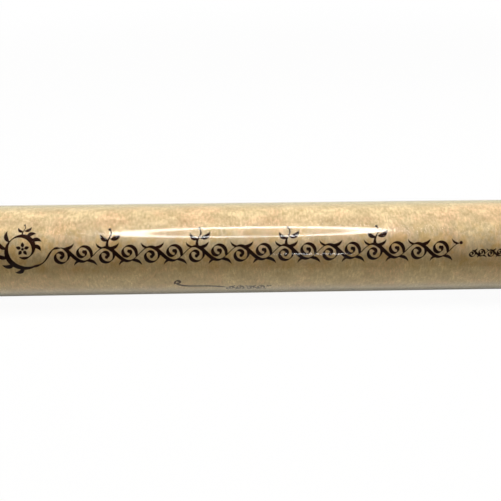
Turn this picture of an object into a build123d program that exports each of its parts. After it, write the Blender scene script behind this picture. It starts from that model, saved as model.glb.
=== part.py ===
from build123d import *
from math import atan2, cos, degrees, pi, radians, sin, sqrt
import os

# A parchment scroll: one printed sheet rolled up along its height, kept rolled by a clear sleeve.
#
# The roll lies on its side. X runs along the roll, Y across it and Z is up. The origin is on the
# surface that the scroll rests on, under the middle of its length. The front, which carries the
# printed ornament, faces -Y. Sizes are in millimetres and angles in degrees.

# The sheet, measured flat.
sheet_width = 350.0
sheet_height = 400.0
paper_thickness = 0.18

# How it is rolled. Each turn lies inside the one before it, with a little air between them, and
# the sheet was started a little askew, so that every half turn drifts along the roll.
air_gap = 0.18
free_edge_angle = -24.0
drift_per_half_turn = 0.25

# The clear sleeve around it.
sleeve_diameter = 28.0
sleeve_wall = 0.2
sleeve_clearance = 0.05
sleeve_overhang = 4.0

# The flat spot that the weight of the roll presses into its underside, and how much tighter than
# the round side the paper bends beside it.
paper_flat_depth = 0.3
blend_inset = 5.5

FRONT = -1
BACK = 1

sleeve_radius = sleeve_diameter / 2
sleeve_bore_radius = sleeve_radius - sleeve_wall
roll_radius = sleeve_bore_radius - sleeve_clearance
pitch = paper_thickness + air_gap
sleeve_flat_depth = paper_flat_depth + pitch
axis_height = sleeve_radius - sleeve_flat_depth


def flat_half_width(flat_depth):
    """Half the width of the flat under a hoop that is pressed up by flat_depth."""
    return sqrt(flat_depth * (2 * blend_inset - flat_depth))


def blend_angle(flat_depth):
    """The angle that the blend between the round side and the flat turns through."""
    return degrees(atan2(flat_half_width(flat_depth), blend_inset - flat_depth))


def hoop_side(side, centre_height, radius, flat_depth):
    """Draws one side of a hoop, from its top round to the middle of the flat under it."""
    half_width = flat_half_width(flat_depth)
    round_turn = 180 - blend_angle(flat_depth)
    flat_height = centre_height - radius + flat_depth
    blend_radius = radius - blend_inset
    CenterArc((0, centre_height), radius, 90, -side * round_turn)
    CenterArc(
        (side * half_width, flat_height + blend_radius),
        blend_radius,
        90 - side * round_turn,
        -side * blend_angle(flat_depth),
    )
    Line((side * half_width, flat_height), (0, flat_height))


def side_length(radius):
    """The length of one side of a hoop of the sheet, from its top to the middle of its flat."""
    blend = radians(blend_angle(paper_flat_depth))
    round_length = radius * (pi - blend)
    blend_length = (radius - blend_inset) * blend
    return round_length + blend_length + flat_half_width(paper_flat_depth)


def half_turn_side(number):
    """The side of the roll that a half turn is on, counted inwards from the free edge."""
    return BACK if number % 2 == 0 else FRONT


def half_turn_radius(number):
    """The outer radius of a half turn."""
    return roll_radius - number * pitch / 2


def half_turn_height(number):
    """The height of a half turn's centre. The front ones stand half a pitch higher."""
    return axis_height + (number % 2) * pitch / 2


# The sheet's own length says how many half turns it makes and where its inner edge comes to lie.
mid_paper = paper_thickness / 2
used_length = (roll_radius - mid_paper) * radians(90 - free_edge_angle)
half_turns = 1
while used_length < sheet_height:
    used_length += side_length(half_turn_radius(half_turns) - mid_paper)
    half_turns += 1
last_half_turn = half_turns - 1
surplus_length = used_length - sheet_height
surplus_angle = degrees(surplus_length / (half_turn_radius(last_half_turn) - mid_paper))
inner_edge_angle = (90 if half_turn_side(last_half_turn) == BACK else 270) - surplus_angle

total_drift = drift_per_half_turn * last_half_turn
blank_length = 2 * sheet_width
sleeve_length = sheet_width + total_drift + 2 * sleeve_overhang


def askew_plane(number, sheet_end):
    """The slanting plane that a half turn's end lies on. Along the sheet it goes on unbroken."""
    side = half_turn_side(number)
    radius = half_turn_radius(number)
    half_turns_before_top = number if side == BACK else number - 1
    at_top = sheet_end - total_drift / 2 + drift_per_half_turn * half_turns_before_top
    slope = side * drift_per_half_turn / (2 * radius - paper_flat_depth)
    return Plane(
        origin=(at_top, 0, half_turn_height(number) + radius),
        x_dir=(0, 1, 0),
        z_dir=(1, 0, -slope),
    )


def radial_plane(number, angle):
    """A plane through a half turn's centre line that faces the way the angle grows."""
    return Plane(
        origin=(0, 0, half_turn_height(number)),
        x_dir=(1, 0, 0),
        z_dir=(0, -sin(radians(angle)), cos(radians(angle))),
    )


# The sheet is a chain of half turns that meet at the top and the bottom of the roll.
sheet_half_turns = []
for number in range(half_turns):
    side = half_turn_side(number)
    centre_height = half_turn_height(number)
    outside = half_turn_radius(number)
    inside = outside - paper_thickness
    flat_height = centre_height - outside + paper_flat_depth
    with BuildPart() as half_turn:
        with BuildSketch(Plane.YZ.offset(-blank_length / 2)):
            with BuildLine():
                hoop_side(side, centre_height, outside, paper_flat_depth)
                hoop_side(side, centre_height, inside, paper_flat_depth)
                Line((0, centre_height + outside), (0, centre_height + inside))
                Line((0, flat_height), (0, flat_height + paper_thickness))
            make_face()
        extrude(amount=blank_length)
        split(bisect_by=askew_plane(number, -sheet_width / 2), keep=Keep.TOP)
        split(bisect_by=askew_plane(number, sheet_width / 2), keep=Keep.BOTTOM)
        if number == 0:
            split(bisect_by=radial_plane(number, free_edge_angle), keep=Keep.TOP)
        if number == last_half_turn:
            split(bisect_by=radial_plane(number, inner_edge_angle), keep=Keep.BOTTOM)
    sheet_half_turns.append(half_turn.part)

with BuildPart() as rolled_sheet:
    add(sheet_half_turns)

# The sleeve is one seamless clear tube, cut square at both ends, that sags flat with the roll.
with BuildPart() as clear_sleeve:
    with BuildSketch(Plane.YZ.offset(-sleeve_length / 2)):
        with BuildLine():
            hoop_side(BACK, axis_height, sleeve_radius, sleeve_flat_depth)
            hoop_side(FRONT, axis_height, sleeve_radius, sleeve_flat_depth)
        make_face()
        with BuildLine():
            hoop_side(BACK, axis_height, sleeve_bore_radius, sleeve_flat_depth)
            hoop_side(FRONT, axis_height, sleeve_bore_radius, sleeve_flat_depth)
        make_face(mode=Mode.SUBTRACT)
    extrude(amount=sleeve_length)

rolled_sheet.part.label = "rolled_sheet"
clear_sleeve.part.label = "clear_sleeve"

os.makedirs("parts", exist_ok=True)
export_step(rolled_sheet.part, "parts/rolled_sheet.step")
export_step(clear_sleeve.part, "parts/clear_sleeve.step")

inner_radius = half_turn_radius(last_half_turn) - paper_thickness
flat_width = 2 * flat_half_width(sleeve_flat_depth)
print("half turns", half_turns, "inner radius", round(inner_radius, 2))
print("axis height", round(axis_height, 2), "width of the flat", round(flat_width, 2))
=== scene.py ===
import logging
import math
from dataclasses import dataclass
from enum import Enum, IntEnum

import bpy
import numpy as np
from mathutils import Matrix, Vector


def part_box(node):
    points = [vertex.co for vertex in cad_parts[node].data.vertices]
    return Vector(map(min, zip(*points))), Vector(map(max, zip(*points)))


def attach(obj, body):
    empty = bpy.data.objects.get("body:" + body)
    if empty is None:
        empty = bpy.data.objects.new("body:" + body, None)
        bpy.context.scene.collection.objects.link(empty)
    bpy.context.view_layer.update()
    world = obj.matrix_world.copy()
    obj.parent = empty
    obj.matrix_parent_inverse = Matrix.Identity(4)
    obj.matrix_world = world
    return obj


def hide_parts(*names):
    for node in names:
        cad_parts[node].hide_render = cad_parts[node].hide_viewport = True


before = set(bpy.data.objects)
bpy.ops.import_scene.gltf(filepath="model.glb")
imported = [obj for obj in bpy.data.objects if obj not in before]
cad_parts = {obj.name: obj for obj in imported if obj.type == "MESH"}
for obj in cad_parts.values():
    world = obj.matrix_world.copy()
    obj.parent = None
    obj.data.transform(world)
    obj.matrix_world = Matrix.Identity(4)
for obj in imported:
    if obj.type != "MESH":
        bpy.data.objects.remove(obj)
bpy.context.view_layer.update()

# A printed parchment scroll in a clear sleeve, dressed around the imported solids. Shapes are worked
# out in millimetres and put into the meshes in metres. The front of the roll faces -Y and Z is up.

MM = 0.001
QUARTER = math.pi / 2
log = logging.getLogger("scroll")

Array = np.ndarray
Pair = tuple[float, float]
Triple = tuple[float, float, float]
Colour = tuple[float, float, float, float]
Piece = bpy.types.Object
Material = bpy.types.Material
NodeTree = bpy.types.NodeTree
Node = bpy.types.Node
Socket = bpy.types.NodeSocket
Input = Socket | float
Inputs = dict[str | int, object]
Tint = Socket | Colour

WHITE = (1.0, 1.0, 1.0, 1.0)


class Bend(IntEnum):
    """The way a pen curl turns, seen from the printed face."""

    CLOCKWISE = 1
    ANTICLOCKWISE = -1


class SeenBy(Enum):
    """The rays that meet a piece of the studio."""

    GLOSS_ONLY = "gloss_only"
    EVERYTHING = "everything"


def eased(share: Array) -> Array:
    """Eases shares from 0 to 1, held at the ends: three times the square less twice the cube."""
    held = np.clip(share, 0.0, 1.0)
    return held * held * (3.0 - 2.0 * held)


# Meshes.


@dataclass
class Skin:
    """A closed skin over two grids of points that lie face to face, joined round their borders.

    Both grids have the shape (rows, columns, 3), in millimetres. Where the skin wraps, the last
    column is joined to the first, as in a tube.
    """

    outer: Array
    inner: Array
    wraps: bool = False

    def points(self) -> Array:
        """The points of both grids, one after the other."""
        return np.concatenate([self.outer.reshape(-1, 3), self.inner.reshape(-1, 3)])

    def faces(self) -> tuple[Array, Array]:
        """Joins neighbours of the outer grid to quads, then the inner grid's, turned over.

        A last row of quads runs round the border, from each outer point to the inner one under it.

        Returns:
            The quads, and for each of them 0 if it is outer, 1 if inner and 2 if on the border.
        """
        rows, columns = self.outer.shape[:2]
        count = rows * columns
        number = np.arange(count).reshape(rows, columns)
        grid = np.concatenate([number, number[:, :1]], axis=1) if self.wraps else number
        quads = np.stack([grid[:-1, :-1], grid[1:, :-1], grid[1:, 1:], grid[:-1, 1:]], axis=-1)
        outer = quads.reshape(-1, 4)
        inner = outer[:, ::-1] + count
        if self.wraps:
            rings = [number[0], number[-1, ::-1]]
        else:
            sides = [number[0, :-1], number[:-1, -1], number[-1, :0:-1], number[:0:-1, 0]]
            rings = [np.concatenate(sides)]
        border = []
        for ring in rings:
            after = np.roll(ring, -1)
            border.append(np.stack([ring, after, after + count, ring + count], axis=-1))
        border = np.concatenate(border)
        kinds = np.repeat([0, 1, 2], [len(outer), len(inner), len(border)])
        return np.concatenate([outer, inner, border]), kinds


def swept_volume(points: Array, quads: Array) -> float:
    """A sixth of the sum of the corners' triple products, negative where the quads face inwards."""
    a, b, c, d = (points[quads[:, k]] for k in range(4))
    return float(np.sum(a * np.cross(b, c) + a * np.cross(c, d)) / 6.0)


def make_piece(name: str, skins: list[Skin], uv: Array, sharp_degrees: float) -> Piece:
    """Puts skins into one mesh object at the origin, with its faces outwards.

    Args:
        name: The name of the piece.
        skins: Its closed skins.
        uv: A flat place for each point of the skins, in millimetres.
        sharp_degrees: Edges that turn by more than this stay sharp.

    Returns:
        The new object. Each face's material number is its kind, as Skin.faces gives it.
    """
    points = np.concatenate([skin.points() for skin in skins])
    quads, kinds, first = [], [], 0
    for skin in skins:
        own_quads, own_kinds = skin.faces()
        quads.append(own_quads + first)
        kinds.append(own_kinds)
        first += len(skin.points())
    corners = np.concatenate(quads)
    if swept_volume(points, corners) < 0.0:
        corners = corners[:, ::-1]
    mesh = bpy.data.meshes.new(name)
    mesh.vertices.add(len(points))
    mesh.vertices.foreach_set("co", (points * MM).astype(np.float32).ravel())
    mesh.loops.add(corners.size)
    mesh.loops.foreach_set("vertex_index", corners.astype(np.int32).ravel())
    mesh.polygons.add(len(corners))
    mesh.polygons.foreach_set("loop_start", np.arange(0, corners.size, 4, dtype=np.int32))
    mesh.polygons.foreach_set("material_index", np.concatenate(kinds).astype(np.int32))
    mesh.update(calc_edges=True)
    flat_map = mesh.uv_layers.new(name="flat_place")
    flat_map.data.foreach_set("uv", (uv[corners.ravel()] * MM).astype(np.float32).ravel())
    mesh.polygons.foreach_set("use_smooth", np.ones(len(corners), dtype=bool))
    mesh.set_sharp_from_angle(angle=math.radians(sharp_degrees))
    mesh.validate()
    piece = bpy.data.objects.new(name, mesh)
    bpy.context.scene.collection.objects.link(piece)
    return piece


def dress(piece: Piece, materials: list[Material]) -> None:
    """Gives a piece its materials, in the order of its faces' numbers."""
    for material in materials:
        piece.data.materials.append(material)


# The curve of the roll.


def flat_spot(depth: float, inset: float) -> Pair:
    """Half the flat's width, half a chord at a depth in a circle of radius inset, and the arc's angle."""
    half_width = math.sqrt(depth * (2 * inset - depth))
    return half_width, math.atan2(half_width, inset - depth)


@dataclass(frozen=True)
class RollPath:
    """The curve that the sheet follows from its free edge inwards, and where its points come to lie.

    Every half turn, counted from the free edge, has a radius of its own. It is an arc round the
    roll, a tighter arc beside the flat spot and half of the flat spot, in that order on the front
    and the other way round on the back.
    """

    sheet_width: float = 350.0
    sheet_height: float = 400.0
    paper: float = 0.18
    air: float = 0.18
    roll_radius: float = 13.75
    axis_height: float = 13.34
    free_edge_degrees: float = -24.0
    flat_depth: float = 0.3
    blend_inset: float = 5.5
    drift: float = 0.25
    half_turns: int = 11
    unevenness: float = 0.045
    even_length: float = 95.0
    fade_length: float = 70.0
    waves_down: Pair = (11.3, 6.1)
    wave_along: float = 83.0

    def place(self, along: Array, down: Array, lift: Array | float) -> Array:
        """Lays points of the flat sheet on the roll.

        A point is the curve's own point there, moved along the outward normal by its height.

        Args:
            along: Distance from the sheet's left edge.
            down: Distance down the sheet from its free edge.
            lift: Height above the middle of the paper, towards the printed face.

        Returns:
            Points with a last axis of X, Y and Z.
        """
        along, down = np.broadcast_arrays(along, down)
        y, z, normal, drifted = self._follow(down)
        height = lift + self._uneven(along, down)
        x = along - self.sheet_width / 2 + drifted
        return np.stack([x, y + height * np.cos(normal), z + height * np.sin(normal)], axis=-1)

    def _uneven(self, along: Array, down: Array) -> Array:
        """Lifts the inner turns unevenly: a slow wave down the sheet and along it, none outside.

        Args:
            along: Distance from the sheet's left edge.
            down: Distance down the sheet from its free edge.

        Returns:
            The heights above the even curve.
        """
        depth = eased((down - self.even_length) / self.fade_length)
        slow, quick = (down / length for length in self.waves_down)
        wave = np.sin(slow + 0.6) + 0.6 * np.sin(quick + along / self.wave_along + 2.0)
        return self.unevenness * depth * wave / 1.6

    def _follow(self, down: Array) -> tuple[Array, Array, Array, Array]:
        """Follows the legs of the curve for a length.

        A point is its leg's centre, plus the share of the leg's straight shift, plus the leg's
        radius in the direction that the angle has reached.

        Args:
            down: Distance down the sheet from its free edge.

        Returns:
            Y, Z, the angle of the outward normal in radians, and the drift along the roll.
        """
        number = np.arange(self.half_turns)
        on_back = number % 2 == 0
        radius = self.roll_radius - self.paper / 2 - number * (self.paper + self.air) / 2
        height = self.axis_height + (number % 2) * (self.paper + self.air) / 2
        depth, inset = self.flat_depth, self.blend_inset
        flat, blend = flat_spot(depth, inset)

        def legs(front: tuple[Array | float, ...], back: tuple[Array | float, ...]) -> Array:
            """Three legs for each half turn, those of its own side."""
            chosen = [np.where(on_back, b, f) for f, b in zip(front, back)]
            return np.stack(chosen, axis=-1).ravel()

        low, lowest = height + depth - inset, height + depth
        centre_y = legs((0.0, -flat, -flat), (0.0, flat, 0.0))
        centre_z = legs((height, low, lowest), (lowest, low, height))
        reach = legs((radius, radius - inset, radius), (radius, radius - inset, radius))
        turned = 3 * QUARTER - blend
        begin = legs((QUARTER, turned, 3 * QUARTER), (-QUARTER, -QUARTER, blend - QUARTER))
        end = legs((turned, 3 * QUARTER, 3 * QUARTER), (-QUARTER, blend - QUARTER, QUARTER))
        shift = legs((0.0, 0.0, flat), (flat, 0.0, 0.0))
        length = reach * (end - begin) + shift
        stop = np.cumsum(length)

        free_edge = math.radians(self.free_edge_degrees)
        run = down + (length[0] + length[1] + radius[0] * (free_edge + QUARTER - blend))
        leg = np.minimum(np.searchsorted(stop, run, side="right"), len(stop) - 1)
        share = (run - (stop - length)[leg]) / length[leg]
        normal = begin[leg] + share * (end - begin)[leg]
        y = centre_y[leg] + share * shift[leg] + reach[leg] * np.cos(normal)
        z = centre_z[leg] + reach[leg] * np.sin(normal)

        half_turn = leg // 3
        risen = (z - (height + depth - radius)[half_turn]) / (2 * radius[half_turn] - depth)
        share_of_half = np.where(on_back[half_turn], risen, 1.0 - risen)
        drifted = self.drift * (half_turn - 1 + share_of_half - (self.half_turns - 1) / 2)
        return y, z, normal, drifted


# Pen ornament, drawn on the flat sheet: along it from its left edge, and down it from its top.


@dataclass(frozen=True)
class Mark:
    """One stroke of ink on the flat sheet: a centre line and half its width at each point."""

    centre: Array
    half_width: Array

    def mirrored(self, about: float) -> "Mark":
        """The same stroke on the other side of a line down the sheet."""
        centre = self.centre[::-1] * np.array([-1.0, 1.0]) + np.array([2.0 * about, 0.0])
        return Mark(centre, self.half_width[::-1])


@dataclass(frozen=True)
class Pen:
    """A broad nib held at a fixed slant, so that a stroke's width depends on its direction."""

    nib: float = 1.15
    hairline: float = 0.26
    slant_degrees: float = 40.0
    step: float = 0.3

    def draw(self, curve: Array, taper_in: float = 0.0, taper_out: float = 0.0) -> Mark:
        """Draws a curve: the width is the nib's, seen across the stroke, or the hairline at least.

        Args:
            curve: Points of the curve.
            taper_in: Share of the stroke over which it swells from a quarter of its width.
            taper_out: Share of the stroke over which it thins to a quarter of its width.

        Returns:
            The stroke.
        """
        centre = evenly_spaced(curve, self.step)
        way = np.gradient(centre, axis=0)
        slant = np.arctan2(way[:, 1], way[:, 0]) + math.radians(self.slant_degrees)
        width = np.hypot(self.nib * np.sin(slant), self.hairline)
        run = np.linspace(0.0, 1.0, len(centre))
        for share, taper in ((run, taper_in), (1.0 - run, taper_out)):
            if taper:
                width = width * (0.25 + 0.75 * eased(share / taper))
        return Mark(centre, width / 2)


def evenly_spaced(curve: Array, step: float) -> Array:
    """Divides a curve into equal runs of about one step each, by its own length.

    Args:
        curve: Points of the curve.
        step: The length of a run.

    Returns:
        The new points.
    """
    run = np.concatenate([[0.0], np.cumsum(np.linalg.norm(np.diff(curve, axis=0), axis=1))])
    at = np.linspace(0.0, run[-1], max(int(run[-1] / step), 8) + 1)
    return np.column_stack([np.interp(at, run, curve[:, axis]) for axis in range(2)])


def drawn_curve(*control: Pair) -> Array:
    """A cubic curve: four control points weighed by the terms of (1 - run + run) cubed.

    Args:
        control: The four control points.

    Returns:
        Points of the curve.
    """
    run = np.linspace(0.0, 1.0, 120)[:, None]
    weights = [(1 - run) ** 3, 3 * (1 - run) ** 2 * run, 3 * (1 - run) * run**2, run**3]
    return sum(weight * np.array(point) for weight, point in zip(weights, control))


def volute(eye: Pair, start: float, radii: Pair, turns: float, bend: Bend) -> Array:
    """A curl towards its eye: the radius shrinks by an equal share for an equal turn.

    Args:
        eye: The point that it turns round.
        start: The direction from the eye to its first point, in degrees.
        radii: The first and the last radius.
        turns: How many times it goes round.
        bend: The way it turns.

    Returns:
        Points of the curl, from the outside in.
    """
    share = np.linspace(0.0, 1.0, 180)
    radius = radii[0] * (radii[1] / radii[0]) ** share
    angle = math.radians(start) + bend * 2.0 * math.pi * turns * share
    return np.array(eye) + radius[:, None] * np.column_stack([np.cos(angle), np.sin(angle)])


def leaf(base: Pair, tip: Pair, width: float, sag: float) -> Mark:
    """A leaf: its line sags sideways as a parabola, and its width swells as a sine.

    Args:
        base: Where it starts.
        tip: Where it ends.
        width: Its greatest width.
        sag: How far its line sags, as a share of its length.

    Returns:
        Its stroke.
    """
    run = np.linspace(0.0, 1.0, 18)
    along = np.array(tip) - np.array(base)
    across = np.array([-along[1], along[0]])
    sagged = (4.0 * sag * run * (1.0 - run))[:, None] * across
    centre = np.array(base) + run[:, None] * along + sagged
    return Mark(centre, width / 2 * np.sin(math.pi * run**0.8) ** 0.9 + 0.02)


def berry(centre: Pair | Array, radius: float) -> Mark:
    """A round dot: a short stroke whose half width follows a circle.

    Args:
        centre: The middle of the dot.
        radius: Its radius.

    Returns:
        Its stroke.
    """
    run = np.linspace(-1.0, 1.0, 13)
    line = np.column_stack([centre[0] + radius * run, np.full(13, centre[1])])
    return Mark(line, radius * np.sqrt(1.0 - run**2) + 0.01)


def sprout(root: Pair, unit: float, pen: Pen) -> list[Mark]:
    """A shoot with two leaves and a bud that grows up from its root.

    Args:
        root: Where it leaves its stem.
        unit: The scale of the shoot.
        pen: The pen that draws its stem.

    Returns:
        Its strokes.
    """

    def at(along: float, up: float) -> Pair:
        """A point of the shoot, in its own scale."""
        return (root[0] + along * unit, root[1] - up * unit)

    stem = drawn_curve(at(0.7, -0.3), at(-0.2, 2.4), at(2.9, 3.2), at(1.3, 5.3))
    return [
        pen.draw(stem, 0.0, 0.55),
        berry(stem[-1], 0.42 * unit),
        leaf(at(1.5, 2.4), at(4.4, 4.3), 1.35 * unit, 0.2),
        leaf(at(0.9, 2.0), at(-1.4, 3.9), 1.2 * unit, -0.2),
    ]


@dataclass(frozen=True)
class VineBand:
    """A running vine: a wave for its stem, a curl in each hollow, leaves, and sprouts on top."""

    first: float
    last: float
    level: float
    unit: float = 1.0
    sprout_every: int = 2
    pen: Pen = Pen(nib=1.05, hairline=0.22)
    wave_length: float = 13.2
    wave_height: float = 2.05

    def marks(self) -> list[Mark]:
        """Draws the stem, a cosine wave of a whole number of half waves, and what grows on it.

        Returns:
            The strokes.
        """
        halves = round(2.0 * (self.last - self.first) / (self.wave_length * self.unit))
        half_wave = (self.last - self.first) / halves
        amplitude = self.wave_height * self.unit
        along = np.linspace(self.first, self.last, 60 * halves)
        wave = self.level - amplitude * np.cos(math.pi * (along - self.first) / half_wave)
        marks = [self.pen.draw(np.column_stack([along, wave]), 0.02, 0.02)]
        for half in range(halves + 1):
            way = 1 if half % 2 == 0 else -1
            here = (self.first + half * half_wave, self.level - way * amplitude)
            if half < halves:
                marks += self._curl(here, way)
            if half > 0:
                marks.append(self._leaf(here, way, -0.5, (-2.7, -1.25), 0.62))
            sprouts = self.sprout_every and way > 0 and 0 < half < halves
            if sprouts and (half // 2) % self.sprout_every == 1:
                marks += sprout(here, self.unit, self.pen)
        return marks + [berry(marks[0].centre[-1], 0.5 * self.unit)]

    def _leaf(self, crest: Pair, way: int, start: float, tip: Pair, width: float) -> Mark:
        """Draws one leaf at a crest of the stem, which points away from the vine.

        Args:
            crest: The place of the crest.
            way: 1 at an upper crest and -1 at a lower one.
            start: How far along the vine from the crest the leaf starts.
            tip: How far from the crest it ends, along the vine and outwards.
            width: Its greatest width.

        Returns:
            Its stroke.
        """
        base = (crest[0] + start * self.unit, crest[1] + 0.2 * way * self.unit)
        end = (crest[0] + tip[0] * self.unit, crest[1] + tip[1] * way * self.unit)
        return leaf(base, end, width * self.unit, 0.18 * way * math.copysign(1.0, tip[0]))

    def _curl(self, crest: Pair, way: int) -> list[Mark]:
        """Draws the curl in the hollow under a crest, with its berry, and the leaf beside it.

        Args:
            crest: The place of the crest.
            way: 1 at an upper crest and -1 at a lower one.

        Returns:
            The strokes.
        """
        eye = (crest[0], self.level + 0.45 * way * self.unit)
        radii = (2.72 * self.unit, 0.75 * self.unit)
        curl = volute(eye, -32.0 * way, radii, 1.22, Bend(way))
        middle = curl[-1] + 0.35 * (np.array(eye) - curl[-1])
        beside = self._leaf(crest, way, 0.9, (4.0, -1.25), 0.9)
        return [self.pen.draw(curl, 0.06), berry(middle, 0.5 * self.unit), beside]


@dataclass(frozen=True)
class OpeningSpray:
    """The large spiral branch that the vine grows out of, with a flower in its eye."""

    eye: Pair = (29.6, 42.3)
    joins: Pair = (40.4, 42.2)
    starts: float = 58.0
    radii: Pair = (6.0, 2.5)
    turns: float = 1.15
    sprout_at: float = 262.0
    leaves_at: tuple[float, ...] = (90.0, 122.0, 152.0, 181.0, 209.0, 290.0, 318.0, 345.0)
    leaf_lengths: tuple[float, ...] = (1.9, 2.4, 2.8, 3.0, 2.7, 2.2, 2.4, 2.0)
    pen: Pen = Pen(nib=1.45, hairline=0.3)
    fine_pen: Pen = Pen(nib=0.55, hairline=0.2)

    def marks(self) -> list[Mark]:
        """Draws the stem from the vine, the spiral, its flower and leaves, and a small curl.

        Returns:
            The strokes.
        """
        spiral = volute(self.eye, self.starts, self.radii, self.turns, Bend.CLOCKWISE)
        stem = drawn_curve(self.joins, (36.6, 41.4), (37.8, 46.6), tuple(spiral[0]))
        small = volute((19.6, 41.0), 60.0, (2.1, 0.6), 1.35, Bend.ANTICLOCKWISE)
        marks = [
            self.pen.draw(np.concatenate([stem[:-1], spiral]), 0.04, 0.05),
            self.fine_pen.draw(small),
            berry(small[-1], 0.45),
        ]
        upwards = np.array([self.sprout_at])
        top = self._round_eye(self._reach(upwards), upwards)[0]
        return marks + sprout(top, 0.66, self.fine_pen) + self._flower() + self._leaves()

    def _reach(self, degrees: Array) -> Array:
        """The spiral's radius in given directions: it shrinks by an equal share for an equal turn."""
        share = (degrees - self.starts) / (360.0 * self.turns)
        return self.radii[0] * (self.radii[1] / self.radii[0]) ** share

    def _round_eye(self, radius: Array | float, degrees: Array) -> list[Pair]:
        """Finds points round the eye.

        Args:
            radius: Their distances from the eye.
            degrees: Their directions from the eye.

        Returns:
            The points.
        """
        turn = np.radians(degrees)
        way = np.column_stack([radius * np.cos(turn), radius * np.sin(turn)])
        return [tuple(point) for point in np.array(self.eye) + way]

    def _flower(self) -> list[Mark]:
        """Draws five petals and a berry round the eye of the spiral.

        Returns:
            The strokes.
        """
        turn = np.arange(5) * 72.0 - 90.0
        ends = zip(self._round_eye(0.55, turn), self._round_eye(2.0, turn))
        return [leaf(a, b, 0.95, 0.0) for a, b in ends] + [berry(self.eye, 0.42)]

    def _leaves(self) -> list[Mark]:
        """Draws leaves along the outside of the spiral, all leaning the way it grows.

        Returns:
            The strokes.
        """
        turn = np.array(self.leaves_at)
        root = self._reach(turn)
        tip = root + np.array(self.leaf_lengths)
        ends = zip(self._round_eye(root, turn), self._round_eye(tip, turn + 21.0))
        return [leaf(a, b, 1.15, -0.2) for a, b in ends]


@dataclass(frozen=True)
class FineFlourish:
    """The hairline under the vine: a small curl, a long slack stroke and a tiny vine."""

    start: Pair = (73.2, 54.6)
    pen: Pen = Pen(nib=0.8, hairline=0.42, step=0.22)
    tiny_pen: Pen = Pen(nib=0.55, hairline=0.22, step=0.14)

    def marks(self) -> list[Mark]:
        """Draws the stroke from its curl on the left to the tiny vine on the right.

        Returns:
            The strokes.
        """
        s, t = self.start
        stroke = drawn_curve((s, t), (s + 3.6, t + 2.9), (s + 8.6, t + 0.4), (s + 15.5, t + 2.6))
        curl = volute((s + 0.9, t - 0.5), 140.0, (1.1, 0.35), 1.0, Bend.CLOCKWISE)
        vine = VineBand(s + 16.0, s + 28.6, t + 3.0, unit=0.48, sprout_every=0, pen=self.tiny_pen)
        return [self.pen.draw(stroke, 0.1, 0.15), self.pen.draw(curl)] + vine.marks()


# Shader nodes.


@dataclass
class NodeDesk:
    """Adds nodes to one tree and joins them."""

    tree: NodeTree

    @staticmethod
    def cleared(owner: Material | bpy.types.World) -> "NodeDesk":
        """Empties the node tree of a material or a world.

        Args:
            owner: The material or the world.

        Returns:
            A desk for its nodes.
        """
        owner.use_nodes = True
        owner.node_tree.nodes.clear()
        return NodeDesk(owner.node_tree)

    def fill(self, node: Node, inputs: Inputs) -> Node:
        """Sets the inputs of a node.

        Args:
            node: The node.
            inputs: A value or a socket to join for each input, by its name or number.

        Returns:
            The same node.
        """
        for name, value in inputs.items():
            if isinstance(value, Socket):
                self.tree.links.new(value, node.inputs[name])
            else:
                node.inputs[name].default_value = value
        return node

    def add(self, kind: str, inputs: Inputs | None = None, **options: object) -> Node:
        """Adds a shader node.

        Args:
            kind: Blender's name of the node, after ShaderNode.
            inputs: A value or a socket to join for each input, by its name or number.
            options: The node's own options, which are set before its inputs.

        Returns:
            The node.
        """
        made = self.tree.nodes.new("ShaderNode" + kind)
        for name, value in options.items():
            setattr(made, name, value)
        return self.fill(made, inputs or {})

    def placed(self, group: NodeTree, inputs: Inputs) -> Node:
        """Places a node group with its own inputs."""
        return self.add("Group", inputs, node_tree=group)

    def flat_place(self) -> Socket:
        """The place on the flat sheet, in metres."""
        return self.add("UVMap", uv_map="flat_place").outputs[0]

    def object_place(self) -> Socket:
        """The place in the object's own frame."""
        return self.add("TexCoord").outputs["Object"]

    def along(self, place: Socket, axis: str) -> Socket:
        """One of the three numbers of a place."""
        return self.add("SeparateXYZ", {0: place}).outputs[axis]

    def math(self, operation: str, *values: Input) -> Socket:
        """The result of a Math node on values or sockets."""
        return self.add("Math", dict(enumerate(values)), operation=operation).outputs[0]

    def times(self, first: Input, *others: Input) -> Socket:
        """The product of values or sockets, multiplied from the left.

        Args:
            first: The first of them.
            others: The others.

        Returns:
            The product.
        """
        for other in others:
            first = self.math("MULTIPLY", first, other)
        return first

    def blend(self, share: Input, under: Tint, over: Tint, mode: str = "MIX") -> Socket:
        """The colour that a Mix node makes of two colours."""
        inputs = {0: share, 6: under, 7: over}
        return self.add("Mix", inputs, data_type="RGBA", blend_type=mode).outputs[2]

    def ramp(self, value: Input, low: float, high: float, to: Pair = (0.0, 1.0)) -> Socket:
        """A value eased from one range to another."""
        inputs = {"Value": value, "From Min": low, "From Max": high, "To Min": to[0], "To Max": to[1]}
        return self.add("MapRange", inputs, interpolation_type="SMOOTHSTEP").outputs[0]

    def noise(self, place: Socket, scale: float, detail: float, roughness: float = 0.55) -> Socket:
        """The value of a Noise Texture."""
        inputs = {"Vector": place, "Scale": scale, "Detail": detail, "Roughness": roughness}
        return self.add("TexNoise", inputs).outputs["Fac"]

    def stretched(self, place: Socket, scale: Triple, shift: Triple = (0.0, 0.0, 0.0)) -> Socket:
        """A place scaled and shifted by a Mapping node."""
        return self.add("Mapping", {"Vector": place, "Scale": scale, "Location": shift}).outputs[0]

    def bumped(self, height: Socket, strength: float, distance: float) -> Socket:
        """The normal that a Bump node makes of a height."""
        inputs = {"Strength": strength, "Distance": distance, "Height": height}
        return self.add("Bump", inputs).outputs[0]

    def mixed(self, share: Input, first: Node, second: Node) -> Node:
        """Mixes the shaders of two nodes."""
        return self.add("MixShader", {0: share, 1: first.outputs[0], 2: second.outputs[0]})


FLOAT = "NodeSocketFloat"
COLOUR = "NodeSocketColor"
VECTOR = "NodeSocketVector"


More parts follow.
